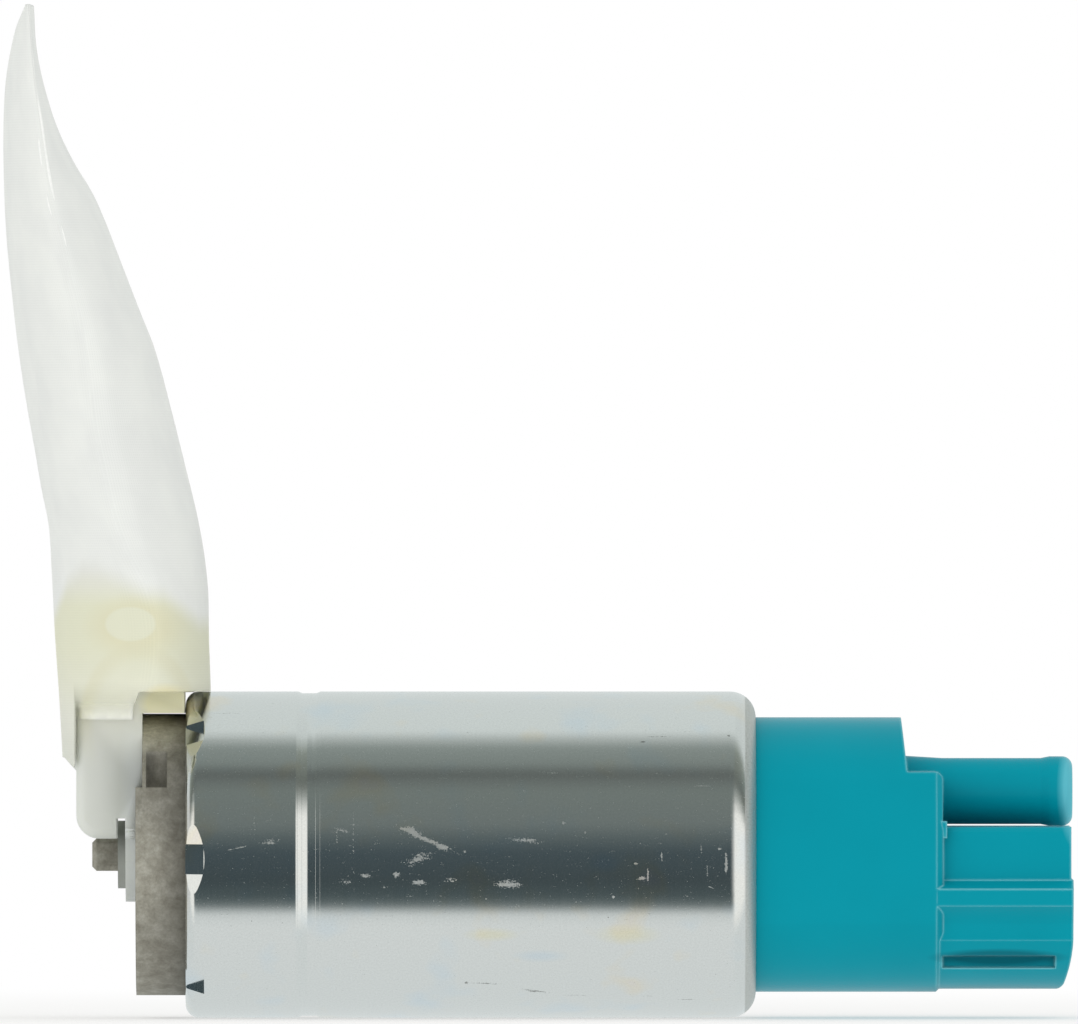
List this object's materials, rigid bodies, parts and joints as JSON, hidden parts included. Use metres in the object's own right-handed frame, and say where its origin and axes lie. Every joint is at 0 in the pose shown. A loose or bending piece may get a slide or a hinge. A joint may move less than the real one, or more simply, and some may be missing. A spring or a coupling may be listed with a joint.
{
  "type": "in-tank fuel pump",
  "caption": "Electric in-tank fuel pump in a folded steel tube, with a hose nipple, a blade connector and a woven strainer on a moulded elbow.",
  "frame": {"origin": "on the pump's axis, at the middle of the housing tube's length, which is the centre of the clamped length's tube", "axes": "+X along the pump's axis towards the outlet nipple, +Z from the axis towards the strainer bag's tip, as in the picture"},
  "size_m": [0.1245, 0.045, 0.1179],
  "materials": {
    "zinc_plated_steel": "bright rolled steel with thin zinc plating, scuffed",
    "cast_aluminium": "die-cast, matt grey",
    "hard_plastic": "moulded, natural",
    "impeller_plastic": "moulded phenolic, dark brown",
    "bearing_bronze": "sintered bronze",
    "ground_steel": "ground",
    "lamination_steel": "stamped laminations",
    "copper_wire": "enamelled copper wire",
    "carbon": "pressed carbon",
    "ferrite": "sintered ferrite",
    "spring_steel": "bright spring steel",
    "dark_spring_steel": "phosphated spring steel, dark",
    "teal_plastic": "moulded, satin",
    "seal_rubber": "moulded rubber",
    "tinned_brass": "tinned",
    "brass": "turned",
    "natural_nylon": "moulded, milky and slightly translucent",
    "nylon_mesh": "fine woven nylon"
  },
  "bodies": {
    "pump_body": {"housing_tube": "zinc_plated_steel", "inlet_cover": "cast_aluminium", "thrust_pad": "hard_plastic", "pump_casing": "cast_aluminium", "front_bearing": "bearing_bronze", "magnet_upper": "ferrite", "magnet_lower": "ferrite", "magnet_clip_left": "spring_steel", "magnet_clip_right": "spring_steel", "rear_bearing": "bearing_bronze", "outlet_cover": "teal_plastic", "cover_seal": "seal_rubber", "brush_spring_left": "spring_steel", "brush_spring_right": "spring_steel", "terminal_left": "tinned_brass", "terminal_right": "tinned_brass", "choke_left": "copper_wire", "choke_right": "copper_wire", "check_valve_seat": "brass", "check_valve_spring": "spring_steel", "relief_valve_seat": "brass", "relief_valve_spring": "spring_steel", "strainer_base": "natural_nylon", "strainer_bag": "nylon_mesh", "retaining_washer": "dark_spring_steel"},
    "rotor": {"shaft": "ground_steel", "armature_core": "lamination_steel", "armature_windings": "copper_wire", "commutator": "carbon", "impeller": "impeller_plastic"},
    "check_valve": {"check_valve_piston": "hard_plastic"},
    "relief_valve": {"relief_valve_ball": "ground_steel"},
    "brush_left_carrier": {"brush_left": "carbon"},
    "brush_right_carrier": {"brush_right": "carbon"}
  },
  "joints": [
    {"name": "rotor_spin", "type": "hinge", "parent": "pump_body", "child": "rotor", "pos_m": [0, 0, 0], "axis": [1, 0, 0], "continuous": true},
    {"name": "check_valve_lift", "type": "slide", "parent": "pump_body", "child": "check_valve", "axis": [1, 0, 0], "range_m": [0, 0.002], "stiffness_N_per_m": 150, "springref_m": -0.001, "deforming": ["check_valve_spring"]},
    {"name": "relief_valve_lift", "type": "slide", "parent": "pump_body", "child": "relief_valve", "axis": [1, 0, 0], "range_m": [0, 0.0015], "stiffness_N_per_m": 800, "springref_m": -0.001, "deforming": ["relief_valve_spring"]},
    {"name": "brush_left_slide", "type": "slide", "parent": "pump_body", "child": "brush_left_carrier", "axis": [1, 0, 0], "range_m": [0, 0.0025], "stiffness_N_per_m": 200, "springref_m": -0.002, "deforming": ["brush_spring_left"]},
    {"name": "brush_right_slide", "type": "slide", "parent": "pump_body", "child": "brush_right_carrier", "axis": [1, 0, 0], "range_m": [0, 0.0025], "stiffness_N_per_m": 200, "springref_m": -0.002, "deforming": ["brush_spring_right"]}
  ]
}
